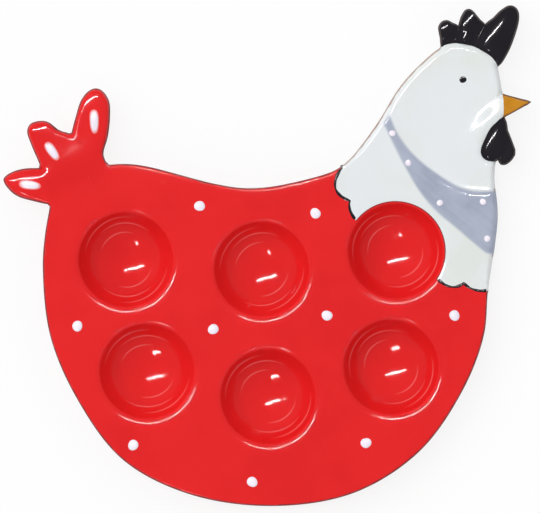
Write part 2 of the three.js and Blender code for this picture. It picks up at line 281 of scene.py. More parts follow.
def inside(points, loops):
    """Whether each point lies inside some loops, holes left out."""
    hits = np.zeros(len(points), int)
    for loop in loops:
        a, b = loop, np.roll(loop, -1, 0)
        rise = np.where(a[:, 1] == b[:, 1], 1, b[:, 1] - a[:, 1])
        slope = (b[:, 0] - a[:, 0]) / rise
        first = 0
        for some in np.array_split(points, len(points) // 3000 + 1):
            x, y = some[:, :1], some[:, 1:]
            spans = (a[:, 1] > y) != (b[:, 1] > y)
            hits[first:first + len(some)] += (spans & (x < a[:, 0] + (y - a[:, 1]) * slope)).sum(1)
            first += len(some)
    return hits % 2 == 1


def eased(x):
    """0 below 0, 1 above 1, and a smooth step between."""
    x = np.clip(x, 0, 1)
    return x * x * (3 - 2 * x)


def rounded(depth, width):
    """Share of the full height at some depth inside a rounded edge."""
    return np.sqrt(1 - (1 - np.clip(depth / width, 0, 1)) ** 2)


def waves(points):
    """Slow unevenness of a slip-cast slab."""
    x, y = points[:, 0], points[:, 1]
    slow = np.sin(0.085 * x + 0.05 * y + 0.6) + np.sin(0.06 * y - 0.09 * x + 2.1)
    quick = np.sin(0.19 * x - 0.14 * y + 1.3) * np.sin(0.16 * y + 0.11 * x)
    return 0.05 * slow + 0.03 * quick


# Outlines of the casting, with the joints closed

solid_loops = {name: [drawn(loop) for loop in section(name, MIDDLE)] for name in CASTING}
cup_places = {}
for name in CUPS:
    low, high = corners(name)
    cup_places[name] = ((low + high)[:2] / 2, (high - low)[0] / 2)


def luted_to(name, loop):
    """The piece or cup that each point of an outline is luted to, or an empty word."""
    found = np.full(len(loop), "", dtype="U32")
    nearest = np.full(len(loop), LUTED)
    for other in CASTING:
        if other != name:
            gap = np.min([distance(loop, sides(edge)) for edge in solid_loops[other]], 0)
            found[gap < nearest] = other
            nearest = np.minimum(gap, nearest)
    for cup, (centre, radius) in cup_places.items():
        gap = abs(np.linalg.norm(loop - centre, axis=1) - radius)
        found[gap < nearest] = cup
        nearest = np.minimum(gap, nearest)
    lone = (found == "") & (np.roll(found, 1) != "") & (np.roll(found, -1) != "")
    found[lone] = np.roll(found, 1)[lone]
    return found


def closed_up(name, loop, found):
    """An outline that reaches into the gaps along its joints."""
    reach = FEATHER_LUTING if name in FEATHERS else LUTING
    moved = np.where((found != "")[:, None], loop - reach * across(loop), loop)
    for cup, (centre, radius) in cup_places.items():
        beside = found == cup
        spoke = moved[beside] - centre
        moved[beside] = centre + spoke * (radius + LUTING / 2) / np.linalg.norm(spoke, axis=1)[:, None]
    return moved


def cut_knots(loop, reach=5):
    """Draws short knots, where a loop crosses itself at a corner, to one point; says which points stay."""
    stay = np.ones(len(loop), bool)
    for i in range(len(loop)):
        for span in range(2, reach + 1):
            j = (i + span) % len(loop)
            here = loop[(i + 1) % len(loop)] - loop[i]
            there = loop[(j + 1) % len(loop)] - loop[j]
            between = loop[j] - loop[i]
            turn = here[0] * there[1] - here[1] * there[0]
            along_here = between[0] * there[1] - between[1] * there[0]
            along_there = between[0] * here[1] - between[1] * here[0]
            if turn and 0 < along_here / turn < 1 and 0 < along_there / turn < 1:
                loop[(i + 1) % len(loop)] = loop[i] + here * along_here / turn
                stay[[(i + k) % len(loop) for k in range(2, span + 1)]] = False
    return stay


outlines = {}
neighbours = {}
for name in CASTING:
    outlines[name] = []
    neighbours[name] = []
    for loop in solid_loops[name]:
        found = luted_to(name, loop)
        moved = closed_up(name, loop, found)
        stay = cut_knots(moved)
        outlines[name].append(moved[stay])
        neighbours[name].append(found[stay])


def seam(name, other):
    """Segments of a piece's outline that are luted to another piece."""
    found = []
    for loop, beside in zip(outlines[name], neighbours[name]):
        both = (beside == other) & (np.roll(beside, -1) == other)
        found.append(sides(loop)[both])
    return np.vstack(found)


def free_edges(name):
    """Segments of a piece's outline that are luted to nothing."""
    found = []
    for loop, beside in zip(outlines[name], neighbours[name]):
        either = (beside == "") | (np.roll(beside, -1) == "")
        found.append(sides(loop)[either])
    return np.vstack(found)


RIM = np.vstack([free_edges(name) for name in CASTING])
TAIL_JOINT = np.vstack([seam("body_plate", feather) for feather in FEATHERS])


# Filling and meshes

def filled(loops, rims, depths, pitch, traced=None):
    """Points and triangles over the inside of some loops: rings along their rims, a traced line, a grid."""
    lines = np.vstack([sides(loop) for loop in loops])
    border = np.vstack(loops)
    inward = np.vstack([across(loop) for loop in loops])
    rim = np.concatenate(rims)
    parts = [border]
    for depth in depths:
        ring = (border + depth * inward)[rim]
        clear = (distance(ring, lines) > 0.92 * depth) & inside(ring, loops)
        parts.append(ring[clear])
    low, high = border.min(0), border.max(0)
    rows = np.arange(low[1], high[1], pitch * 0.866)
    columns = np.arange(low[0], high[0], pitch)
    grid = np.array([(x + k % 2 * pitch / 2, y) for k, y in enumerate(rows) for x in columns])
    grid = grid[inside(grid, loops)]
    grid = grid[distance(grid, lines) > 0.6 * pitch]
    if rim.any():
        grid = grid[distance(grid, lines[rim]) > depths[-1] + 0.4 * pitch]
    if traced is not None:
        for depth in (-1.2, -0.7, -0.2, 0.3, 0.8):
            ring = traced + depth * across(traced)
            clear = (distance(ring, sides(traced)) > 0.9 * abs(depth)) & inside(ring, loops)
            parts.append(ring[clear & (distance(ring, lines) > depths[-1] + 0.4)])
        grid = grid[distance(grid, sides(traced)) > 1.2 + 0.4 * pitch]
    parts.append(grid)
    edges = []
    first = 0
    for loop in loops:
        edges += [(first + i, first + (i + 1) % len(loop)) for i in range(len(loop))]
        first += len(loop)
    given = [Vector(p) for p in np.vstack(parts)]
    found, _, faces, *_ = delaunay_2d_cdt(given, edges, [], 0, 1e-4)
    points = np.array([tuple(p) for p in found])
    triangles = np.array([list(f) for f in faces])
    return points, triangles[inside(points[triangles].mean(1), loops)]


def relaxed(heights, triangles, held, rounds):
    """Heights evened out over a mesh, where they aren't held."""
    pairs = np.vstack([triangles[:, [0, 1]], triangles[:, [1, 2]], triangles[:, [2, 0]]])
    pairs = np.unique(np.sort(pairs, 1), axis=0)
    a, b = np.concatenate([pairs, pairs[:, ::-1]]).T
    degree = np.maximum(np.bincount(a, minlength=len(heights)), 1)
    for _ in range(rounds):
        mean = np.bincount(a, heights[b], len(heights)) / degree
        heights = np.where(held, heights, mean)
    return heights


def make_piece(name, points, faces, finish, tags=None, sharp=55):
    """An object with smooth faces, a glaze and its tags, in place of the solid of its name."""
    mesh = bpy.data.meshes.new(name)
    mesh.from_pydata([tuple(p) for p in np.asarray(points) * MM], [], faces)
    for tag, values in (tags or {}).items():
        layer = mesh.attributes.new(tag, "FLOAT", "POINT")
        layer.data.foreach_set("value", np.asarray(values, np.float32))
    shape = bmesh.new()
    shape.from_mesh(mesh)
    bmesh.ops.delete(shape, geom=[v for v in shape.verts if not v.link_faces], context="VERTS")
    shape.to_mesh(mesh)
    shape.free()
    mesh.polygons.foreach_set("use_smooth", [True] * len(mesh.polygons))
    mesh.set_sharp_from_angle(angle=math.radians(sharp))
    mesh.materials.append(FINISHES[finish])
    piece = bpy.data.objects.new(name + "_glazed", mesh)
    bpy.context.scene.collection.objects.link(piece)
    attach(piece, "root")
    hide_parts(name)
    return piece


def shell_faces(triangles, count, shared):
    """Faces of a top, an underside and the walls between them; shared points lie on both."""
    lower = np.where(shared, np.arange(count), np.arange(count) + count)
    triangles = triangles[~shared[triangles].all(1)]
    edges = np.vstack([triangles[:, [0, 1]], triangles[:, [1, 2]], triangles[:, [2, 0]]])
    known = set(map(tuple, edges.tolist()))
    walls = []
    for a, b in edges.tolist():
        if (b, a) not in known and not (shared[a] and shared[b]):
            walls.append(list(dict.fromkeys([b, a, int(lower[a]), int(lower[b])])))
    return triangles.tolist() + lower[triangles[:, ::-1]].tolist() + walls


# Glazes

def srgb(red, green, blue):
    """A colour as it looks on a screen, 0 to 255, for a shader."""
    linear = []
    for value in (red, green, blue):
        share = value / 255
        linear.append(share / 12.92 if share <= 0.04045 else ((share + 0.055) / 1.055) ** 2.4)
    return (*linear, 1.0)


class Nodes:
    """Short ways to add and link the nodes of one tree."""

    def __init__(self, tree):
        self.tree = tree

    def add(self, kind, **settings):
        node = self.tree.nodes.new(kind)
        for key, value in settings.items():
            setattr(node, key, value)
        return node

    def link(self, source, target):
        self.tree.links.new(source, target)

    def noise(self, place, scale, detail=2.0, roughness=0.5):
        node = self.add("ShaderNodeTexNoise")
        node.inputs["Scale"].default_value = scale
        node.inputs["Detail"].default_value = detail
        node.inputs["Roughness"].default_value = roughness
        self.link(place, node.inputs["Vector"])
        return node.outputs["Fac"]

    def band(self, value, low, high):
        """A mask that rises smoothly from 0 to 1 between two values."""
        node = self.add("ShaderNodeMapRange", interpolation_type="SMOOTHSTEP")
        node.inputs["From Min"].default_value = low
        node.inputs["From Max"].default_value = high
        self.link(value, node.inputs["Value"])
        return node.outputs["Result"]

    def combine(self, operation, first, second):
        """Two values, each a number or a socket, worked into one."""
        node = self.add("ShaderNodeMath", operation=operation)
        for socket, value in zip(node.inputs, (first, second)):
            if isinstance(value, (int, float)):
                socket.default_value = value
            else:
                self.link(value, socket)
        return node.outputs["Value"]

    def mix(self, share, first, second):
        """Two colours, each a tuple or a socket, mixed by a mask; a mix node's colour sockets come last."""
        node = self.add("ShaderNodeMix", data_type="RGBA")
        self.link(share, node.inputs["Factor"])
        for socket, value in zip((node.inputs[6], node.inputs[7]), (first, second)):
            if isinstance(value, tuple):
                socket.default_value = value
            else:
                self.link(value, socket)
        return node.outputs[2]

    def tag(self, name):
        """A value that the mesh carries at each point."""
        return self.add("ShaderNodeAttribute", attribute_name=name).outputs["Fac"]


def new_group(name, inputs, outputs):
    """An empty node group with its sockets; gives its nodes, its inputs and its outputs."""
    tree = bpy.data.node_groups.new(name, "ShaderNodeTree")
    for label, kind, value in inputs:
        socket = tree.interface.new_socket(label, in_out="INPUT", socket_type=kind)
        socket.default_value = value
    for label, kind in outputs:
        tree.interface.new_socket(label, in_out="OUTPUT", socket_type=kind)
    nodes = Nodes(tree)
    return nodes, nodes.add("NodeGroupInput").outputs, nodes.add("NodeGroupOutput").inputs


FLOAT = "NodeSocketFloat"
COLOUR = "NodeSocketColor"
VECTOR = "NodeSocketVector"


def glaze_cover():
    """Colour and roughness of a glaze: cloudy where it is thick, dark and dry at an edge, where the glaze
    runs thin and where shade is painted on.
    """
    nodes, given, made = new_group(
        "glaze_cover",
        [("Glaze", COLOUR, (0.5, 0.5, 0.5, 1)), ("Cloud", COLOUR, (0.4, 0.4, 0.4, 1)),
         ("EdgeTone", COLOUR, (0.6, 0.6, 0.6, 1)), ("Pooled", COLOUR, (0.3, 0.3, 0.3, 1)),
         ("Gloss", FLOAT, 0.07)],
        [("Colour", COLOUR), ("Roughness", FLOAT)])
    place = nodes.add("ShaderNodeTexCoord").outputs["Object"]
    clouds = nodes.band(nodes.noise(place, 34, 3.0), 0.38, 0.72)
    grain = nodes.band(nodes.noise(place, 900, 2.0), 0.45, 0.8)
    cloudy = nodes.combine("MAXIMUM", clouds, nodes.combine("MULTIPLY", grain, 0.35))
    ragged = nodes.combine("MULTIPLY", nodes.noise(place, 240, 2.0), 0.5)
    edge = nodes.band(nodes.combine("ADD", nodes.tag("edge"), ragged), 0.65, 1.0)
    dry = nodes.combine("MULTIPLY", edge, 0.7)
    nodes.link(nodes.combine("ADD", given["Gloss"], dry), made["Roughness"])
    pool = nodes.band(nodes.combine("ADD", nodes.tag("pool"), ragged), 0.3, 1.4)
    colour = nodes.mix(cloudy, given["Glaze"], given["Cloud"])
    colour = nodes.mix(pool, colour, given["Pooled"])
    nodes.link(nodes.mix(edge, colour, given["EdgeTone"]), made["Colour"])
    return nodes.tree


def glaze_skin():
    """Normal of a fired glaze: slow waves, orange peel and a few pinholes."""
    nodes, given, made = new_group(
        "glaze_skin",
        [("Waves", FLOAT, 0.1), ("Peel", FLOAT, 0.02)],
        [("Normal", VECTOR)])
    place = nodes.add("ShaderNodeTexCoord").outputs["Object"]
    slow = nodes.combine("MULTIPLY", nodes.noise(place, 130, 1.0), given["Waves"])
    fine = nodes.combine("MULTIPLY", nodes.noise(place, 750, 2.0), given["Peel"])
    spots = nodes.add("ShaderNodeTexVoronoi")
    spots.inputs["Scale"].default_value = 95
    nodes.link(place, spots.inputs["Vector"])
    holes = nodes.combine("MULTIPLY", nodes.band(spots.outputs["Distance"], 0.0, 0.035), 0.05)
    height = nodes.combine("ADD", nodes.combine("ADD", slow, fine), holes)
    bump = nodes.add("ShaderNodeBump")
    bump.inputs["Distance"].default_value = MM
    nodes.link(height, bump.inputs["Height"])
    nodes.link(bump.outputs["Normal"], made["Normal"])
    return nodes.tree


def brush_marks():
    """Mask of a brushed wash: long streaks and wet blooms."""
    nodes, given, made = new_group(
        "brush_marks", [("Turn", FLOAT, 0.0), ("Streaks", FLOAT, 0.5)], [("Mask", FLOAT)])
    place = nodes.add("ShaderNodeTexCoord").outputs["Object"]
    turned = nodes.add("ShaderNodeVectorRotate", rotation_type="Z_AXIS")
    nodes.link(place, turned.inputs["Vector"])
    nodes.link(given["Turn"], turned.inputs["Angle"])
    drawn_out = nodes.add("ShaderNodeVectorMath", operation="MULTIPLY")
    drawn_out.inputs[1].default_value = (0.12, 1.0, 1.0)
    nodes.link(turned.outputs["Vector"], drawn_out.inputs[0])
    hairs = nodes.noise(drawn_out.outputs["Vector"], 420, 2.0)
    streaks = nodes.combine("MULTIPLY", hairs, given["Streaks"])
    blooms = nodes.noise(place, 75, 3.0, 0.6)
    nodes.link(nodes.band(nodes.combine("ADD", streaks, blooms), 0.4, 1.0), made["Mask"])
    return nodes.tree


GLAZE_COVER = glaze_cover()
GLAZE_SKIN = glaze_skin()
BRUSH_MARKS = brush_marks()


def new_finish(name, roughness, waves_depth, peel_depth):
    """A glossy material with the glaze's skin; its colour is linked by the caller."""
    material = bpy.data.materials.new(name)
    material.use_nodes = True
    nodes = Nodes(material.node_tree)
    shader = material.node_tree.nodes["Principled BSDF"]
    shader.inputs["Roughness"].default_value = roughness
    shader.inputs["IOR"].default_value = 1.52
    skin = nodes.add("ShaderNodeGroup", node_tree=GLAZE_SKIN)
    skin.inputs["Waves"].default_value = waves_depth
    skin.inputs["Peel"].default_value = peel_depth
    nodes.link(skin.outputs["Normal"], shader.inputs["Normal"])
    return material, nodes, shader


# The thin tone is the colour at an edge: partly thin glaze, partly painted shade
def covered(nodes, shader, glaze, cloud, thin, pooled):
    """The colour of a glaze from its four tones; its roughness goes to the shader."""
    cover = nodes.add("ShaderNodeGroup", node_tree=GLAZE_COVER)
    for label, value in (("Glaze", glaze), ("Cloud", cloud), ("EdgeTone", thin), ("Pooled", pooled)):
        if isinstance(value, tuple):
            cover.inputs[label].default_value = value
        else:
            nodes.link(value, cover.inputs[label])
    cover.inputs["Gloss"].default_value = shader.inputs["Roughness"].default_value
    nodes.link(cover.outputs["Roughness"], shader.inputs["Roughness"])
    return cover.outputs["Colour"]


def red_glaze():
    """Gloss red, with pale arcs painted in the cups as highlights."""
    material, nodes, shader = new_finish("red_glaze", 0.07, 0.05, 0.004)
    # The dark third tone along the edges is partly thin glaze, partly painted shade
    colour = covered(
        nodes, shader, srgb(230, 34, 35), srgb(223, 30, 32), srgb(136, 24, 27), srgb(196, 22, 28))
    # Pale pink arcs from the ring tag: highlights painted into the cups' colour
    rings = nodes.combine("MULTIPLY", nodes.tag("ring"), 0.5)
    nodes.link(nodes.mix(rings, colour, srgb(250, 150, 146)), shader.inputs["Base Color"])
    return material


# Thick, cloudy, thin and pooled white, on the neck and round the neckerchief's wash
WHITE_TONES = (srgb(229, 233, 235), srgb(224, 228, 223), srgb(166, 142, 130), srgb(205, 211, 212))


def white_glaze():
    """Gloss cool white, brown where it is thin."""
    material, nodes, shader = new_finish("white_glaze", 0.06, 0.04, 0.004)
    colour = covered(nodes, shader, *WHITE_TONES)
    nodes.link(colour, shader.inputs["Base Color"])
    return material


def black_glaze():
    """Gloss black."""
    material, nodes, shader = new_finish("black_glaze", 0.08, 0.05, 0.004)
    colour = covered(nodes, shader, srgb(25, 22, 27), srgb(32, 28, 34), srgb(62, 47, 42), srgb(14, 12, 16))
    nodes.link(colour, shader.inputs["Base Color"])
    return material


def ochre_glaze():
    """Gloss ochre, brushed on."""
    material, nodes, shader = new_finish("ochre_glaze", 0.09, 0.05, 0.006)
    marks = nodes.add("ShaderNodeGroup", node_tree=BRUSH_MARKS)
    marks.inputs["Turn"].default_value = math.radians(8)
    brushed = nodes.mix(marks.outputs["Mask"], srgb(214, 147, 6), srgb(182, 116, 6))
    colour = covered(nodes, shader, brushed, srgb(206, 140, 42), srgb(120, 74, 34), srgb(150, 92, 30))
    nodes.link(colour, shader.inputs["Base Color"])
    return material


def grey_glaze():
    """A watery grey wash that fades into the white round it."""
    material, nodes, shader = new_finish("grey_glaze", 0.07, 0.04, 0.004)
    marks = nodes.add("ShaderNodeGroup", node_tree=BRUSH_MARKS)
    marks.inputs["Turn"].default_value = math.radians(40)
    wash = nodes.mix(marks.outputs["Mask"], srgb(156, 163, 182), srgb(174, 181, 197))
    white = covered(nodes, shader, *WHITE_TONES)
    nodes.link(nodes.mix(nodes.tag("wash"), white, wash), shader.inputs["Base Color"])
    return material


def white_slip():
    """Raised white slip, pink where a stroke runs out thin."""
    material, nodes, shader = new_finish("white_slip", 0.2, 0.03, 0.008)
    marks = nodes.add("ShaderNodeGroup", node_tree=BRUSH_MARKS)
    marks.inputs["Turn"].default_value = math.radians(65)
    slip = nodes.mix(marks.outputs["Mask"], srgb(249, 243, 250), srgb(238, 228, 242))
    nodes.link(nodes.mix(nodes.tag("thin"), slip, srgb(236, 120, 118)), shader.inputs["Base Color"])
    return material


def bare_clay():
    """Unglazed clay of the foot rings."""
    material, nodes, shader = new_finish("bare_clay", 0.75, 0.06, 0.03)
    colour = covered(
        nodes, shader, srgb(226, 211, 186), srgb(214, 194, 166), srgb(232, 220, 200), srgb(190, 168, 140))
    nodes.link(colour, shader.inputs["Base Color"])
    return material


FINISHES = {
    "red_glaze": red_glaze(),
    "white_glaze": white_glaze(),
    "black_glaze": black_glaze(),
    "ochre_glaze": ochre_glaze(),
    "grey_glaze": grey_glaze(),
    "white_slip": white_slip(),
    "bare_clay": bare_clay(),
}


# The casting

def scarf_band():
    """The neckerchief's outline, carried on over the neck's rounded edge at the breast."""
    low, high = corners("neckerchief")
    loop = drawn(section("neckerchief", (low[2] + high[2]) / 2)[0])
    edge = RIM.mean(1)
    for i in np.flatnonzero((distance(loop, RIM) < SCARF_CARRY) & (loop[:, 0] > BREAST)):
        out = edge[np.linalg.norm(edge - loop[i], axis=1).argmin()] - loop[i]
        loop[i] += out * (1 + 1 / np.linalg.norm(out))
    return loop


SCARF = scarf_band()


def scarf_depth(points):
    """How far points lie inside the neckerchief, or outside it if negative."""
    away = distance(points, sides(SCARF))
    return np.where(inside(points, [SCARF]), away, -away)


def puff(points, triangles):
    """Rise of a feather: full in the middle, low at the body's joint and in the notch."""
    depth = distance(points, RIM)
    rise = PUFF_HEIGHT * np.tanh(depth / PUFF_REACH)
    rise = relaxed(rise, triangles, depth < 0.9 * PUFF_REACH, 6)
    rise *= eased(distance(points, TAIL_JOINT) / BLEND)
    near = np.linalg.norm(points - NOTCH, axis=1) / NOTCH_REACH
    return rise * (1 - NOTCH_EASE * np.exp(-near ** 2))


def ridges(name, points):
    """Rise of comb or wattle along its lobes, with soft valleys between them."""
    heights = [np.full(len(points), RIDGE_FOOT[name])]
    for middle, length, width, steep in RIDGES[name]:
        turn = math.radians(steep)
        away = points - middle
        along = away @ (math.cos(turn), math.sin(turn)) / length
        beside = away @ (-math.sin(turn), math.cos(turn)) / width
        heights.append(RIDGE_RISE * (1 - along ** 2 - beside ** 2))
    return RIDGE_BLEND * np.log(np.exp(np.array(heights) / RIDGE_BLEND).sum(0))


def neck_relief(points):
    """Rise of the neck: the slope of the cheek, and the neckerchief."""
    away = points - CHEEK_MIDDLE
    out = away @ (math.cos(CHEEK_FACES), math.sin(CHEEK_FACES))
    along = away @ (-math.sin(CHEEK_FACES), math.cos(CHEEK_FACES))
    cheek = 0.5 * CHEEK_RISE * (1 - np.tanh(out / CHEEK_SLOPE))
    scarf = 0.5 * SCARF_RISE * (1 + np.tanh(scarf_depth(points) / SCARF_SLOPE))
    return cheek * np.exp(-0.5 * (along / CHEEK_LENGTH) ** 2) + scarf


def cup_dips(points):
    """How far a slab dips towards the cups."""
    dip = np.zeros(len(points))
    for centre, radius in cup_places.values():
        away = np.linalg.norm(points - centre, axis=1) - radius
        dip += CUP_DIP * np.exp(-np.maximum(away, 0) / CUP_DIP_REACH)
    return dip


def lift(name, points, triangles):
    """What each part of the casting adds to the flat top."""
    if name in FEATHERS:
        return puff(points, triangles)
    if name in RIDGES:
        return ridges(name, points)
    if name == "neck_and_head":
        return neck_relief(points) - cup_dips(points)
    if name == "body_plate":
        return -cup_dips(points)
    return np.zeros(len(points))


def groove(name, points):
    """Depth of the groove where a piece meets one of another glaze."""
    depth = np.zeros(len(points))
    for pair, full in GROOVES.items():
        if name in pair:
            away = distance(points, seam(*pair))
            depth = np.maximum(depth, full * np.exp(-(away / GROOVE_WIDTH) ** 2))
    return depth


def cast(name, finish, pitch, traced=None):
    """A slab or lobe with a rounded rim, closed along its joints; pitch is the spacing of its points."""
    loops = outlines[name]
    rims = [(found == "") | np.char.startswith(found, "egg_cup") for found in neighbours[name]]
    full = EDGE_ROUND[name]
    depths = [full * (1 - math.cos(math.radians(15 * k))) for k in range(1, 7)]
    points, triangles = filled(loops, rims, [*depths, 1.3 * full], pitch, traced)
    away = distance(points, RIM)
    body_joint = seam(name, "body_plate")
    like_body = float(name == "body_plate")
    if len(body_joint):
        like_body = 1 - eased(distance(points, body_joint) / BLEND)
        full = full + (BODY_ROUND - full) * like_body
    edge = rounded(away, full)
    furrow = groove(name, points) * edge
    relief = lift(name, points, triangles) + waves(points)
    relief -= SHOULDER * np.exp(-away / SHOULDER_REACH) * like_body
    top = MIDDLE + (TOP - MIDDLE + relief) * edge - furrow
    under = MIDDLE - (MIDDLE - BOTTOM) * edge
    shared = away < 1e-3
    # The edge tag darkens the glaze near the rim, partly as thin glaze and partly as painted shade; on the
    # neck only towards the nape
    bare = eased((100 - points[:, 0]) / 20) if name == "neck_and_head" else 1.0
    tags = {"edge": np.exp(-away / EDGE_TONE_FADE) * bare, "pool": furrow}
    both = {tag: np.concatenate([values, values]) for tag, values in tags.items()}
    shape = np.vstack([np.c_[points, top], np.c_[points, under]])
    make_piece(name, shape, shell_faces(triangles, len(points), shared), finish, both)
    return np.c_[points, top], triangles


tops = {
    "body_plate": cast("body_plate", "red_glaze", 1.8),
    "neck_and_head": cast("neck_and_head", "white_glaze", 1.3, SCARF),
    "comb": cast("comb", "black_glaze", 0.5),
    "wattle": cast("wattle", "black_glaze", 0.5),
    "beak": cast("beak", "ochre_glaze", 0.8),
}
for feather in FEATHERS:
    tops[feather] = cast(feather, "red_glaze", 1.0)


# Egg cups

def bezier(controls, count):
    """Points along a Bezier curve."""
    t = np.linspace(0, 1, count)[:, None]
    points = [np.repeat(np.array([p], float), count, 0) for p in controls]
    while len(points) > 1:
        points = [(1 - t) * a + t * b for a, b in zip(points, points[1:])]
    return points[0]


def cup_profile(radius):
    """Radius and height down the cup's inside and back along its outside, from floor to foot."""
    rim = TOP - CUP_DIP
    turn = np.radians(np.linspace(90 + CUP_WALL_SLOPE, 97, 12))
    lip = np.c_[np.cos(turn), np.sin(turn)] * CUP_LIP
    lip += (radius, rim) - lip[-1]
    reach = np.linspace(0, lip[0][0], 84)
    low = CUP_FLOOR + CUP_FLOOR_CURVE * reach ** 2
    wall = np.maximum(reach - CUP_FLOOR_RADIUS, 0) ** 3
    bowl = np.c_[reach, low + (lip[0][1] - low[-1]) * wall / wall[-1]]
    inside_line = np.vstack([bowl, lip[1:]])
    inner = FOOT_RADIUS - FOOT_WIDTH
    collar = np.array([(radius + LUTING / 2, rim - 0.05), (radius + LUTING / 2, BOTTOM + 0.4)])
    pulls = [(radius, 0.55 * BOTTOM), (0.45 * radius + 0.55 * FOOT_RADIUS, 0.2 * BOTTOM)]
    outside = bezier([(radius, BOTTOM), *pulls, (FOOT_RADIUS, 0.5)], 20)
    foot = np.array([
        (FOOT_RADIUS - 0.15, 0.15), (FOOT_RADIUS - 0.5, 0), (inner + 0.5, 0), (inner + 0.1, 0.15),
        (inner - 0.4, 0.6), (inner - 0.9, FOOT_RECESS), (0.5 * inner, FOOT_RECESS), (0, FOOT_RECESS)])
    return np.vstack([inside_line, collar, outside, foot]), len(inside_line)


def revolved_faces(count):
    """Faces between some rings of points, closed by the two points that follow them."""
    faces = []
    for k in range(count - 1):
        a, b = k * CUP_SIDES, (k + 1) * CUP_SIDES
        for i in range(CUP_SIDES):
            j = (i + 1) % CUP_SIDES
            faces.append([b + i, b + j, a + j, a + i])
    last = (count - 1) * CUP_SIDES
    for i in range(CUP_SIDES):
        j = (i + 1) % CUP_SIDES
        faces.append([count * CUP_SIDES, i, j])
        faces.append([count * CUP_SIDES + 1, last + j, last + i])
    return faces


def painted_glint_arcs(away, centre):
    """How strongly the painted highlight arcs show at places round a cup's centre."""
    reach = np.linalg.norm(away, axis=1)
    way = np.arctan2(away[:, 1], away[:, 0])
    marks = np.zeros(len(away))
    for radius, turn in CUP_GLINT_ARCS:
        shown = np.clip(np.cos(2 * (way - math.radians(turn + 0.2 * centre[0]))), 0, 1)
        off = reach - radius - CUP_GLINT_WOBBLE * np.sin(2 * way + centre[1])
        marks += shown * np.exp(-(off / CUP_GLINT_WIDTH) ** 2)
    return marks


def throw_cup(name):
    """A thrown cup: floor, wall, rolled lip, bowl and a bare foot ring."""
    centre, radius = cup_places[name]
    line, inner_count = cup_profile(radius)
    ring = np.linspace(0, 2 * math.pi, CUP_SIDES, endpoint=False)
    body = line[1:-1]
    x = centre[0] + np.outer(body[:, 0], np.cos(ring))
    y = centre[1] + np.outer(body[:, 0], np.sin(ring))
    z = np.repeat(body[:, 1:], CUP_SIDES, 1)
    points = np.stack([x, y, z], 2).reshape(-1, 3)
    points = np.vstack([points, [*centre, line[0, 1]], [*centre, line[-1, 1]]])
    points[:, 2] += waves(points[:, :2]) * eased((points[:, 2] - 1) / 12)
    away = points[:, :2] - centre
    reach = np.linalg.norm(away, axis=1)
    within = np.arange(len(points)) < (inner_count - 1) * CUP_SIDES
    lean = CUP_LEAN * (centre - CUP_LEAN_MIDDLE)
    ripple = CUP_RIPPLE * np.sin(1.1 * away[:, 0] + 0.4 * away[:, 1] + centre[0])
    floor = eased((radius - reach) / CUP_LEAN_FADE) * within
    points[:, 2] += (away @ lean + ripple * eased(reach / 3)) * floor
    edge = np.zeros(len(points))
    beside_neck = seam("neck_and_head", name)
    if len(beside_neck):
        edge = np.exp(-distance(points[:, :2], beside_neck) / 0.8)
    up = points[:, 2] > CUP_FLOOR - 0.5
    # The ring tag carries the painted highlight arcs on the cup's inside
    tags = {"edge": edge, "pool": 0 * edge, "ring": painted_glint_arcs(away, centre) * up}
    piece = make_piece(name, points, revolved_faces(len(body)), "red_glaze", tags, 40)
    piece.data.materials.append(FINISHES["bare_clay"])
    for face in piece.data.polygons:
        if max(piece.data.vertices[v].co.z for v in face.vertices) < 0.3 * MM:
            face.material_index = 1


for name in CUPS:
    throw_cup(name)


# Slip laid on the glaze

ground_points = []
ground_faces = []
for shape, triangles in tops.values():
    ground_faces += (triangles + len(ground_points)).tolist()
    ground_points += [tuple(p) for p in shape]
GROUND = BVHTree.FromPolygons(ground_points, ground_faces)


def ground_height(points):
    """Height of the glaze under some points."""
    heights = []
    for x, y in points:
        hit = GROUND.ray_cast(Vector((x, y, 100)), Vector((0, 0, -1)))[0]
        heights.append(MIDDLE if hit is None else hit.z)
    return np.array(heights)


def lay(name, finish, points, triangles, thickness, tags=None):
    """A patch of slip that follows the glaze under it."""
    level = ground_height(points)
    shape = np.vstack([np.c_[points, level + thickness], np.c_[points, level - SLIP_ROOT]])
    faces = shell_faces(triangles, len(points), np.zeros(len(points), bool))
    both = {tag: np.concatenate([values, values]) for tag, values in (tags or {}).items()}
    return make_piece(name, shape, faces, finish, both, 75)


def polar_patch(rings, spokes):
    """A unit disc of triangles: points and triangles."""
    points = [(0, 0)]
    triangles = []
    for k in range(1, rings + 1):
        for i in range(spokes):
            turn = 2 * math.pi * i / spokes
            points.append((k / rings * math.cos(turn), k / rings * math.sin(turn)))
    for i in range(spokes):
        j = (i + 1) % spokes
        triangles.append((0, 1 + i, 1 + j))
        for k in range(rings - 1):
            a, b = 1 + k * spokes, 1 + (k + 1) * spokes
            triangles += [(a + i, b + i, b + j), (a + i, b + j, a + j)]
    return np.array(points), np.array(triangles)


DISC = polar_patch(12, 48)


def lay_drop(name, finish, height, turn):
    """A round drop of slip, a little out of true."""
    low, high = corners(name)
    centre = (low + high)[:2] / 2
    radius = (high - low)[0] / 2
    disc, triangles = DISC
    reach = np.linalg.norm(disc, axis=1)
    way = np.arctan2(disc[:, 1], disc[:, 0])
    wobble = 1 + 0.05 * np.sin(2 * way + turn) + 0.025 * np.sin(3 * way + 2.3 * turn)
    thickness = height * np.sqrt(np.maximum(1 - reach ** 2.4, 0)) - 0.02
    lay(name, finish, centre + disc * radius * wobble[:, None], triangles, thickness, {"thin": 0 * reach})


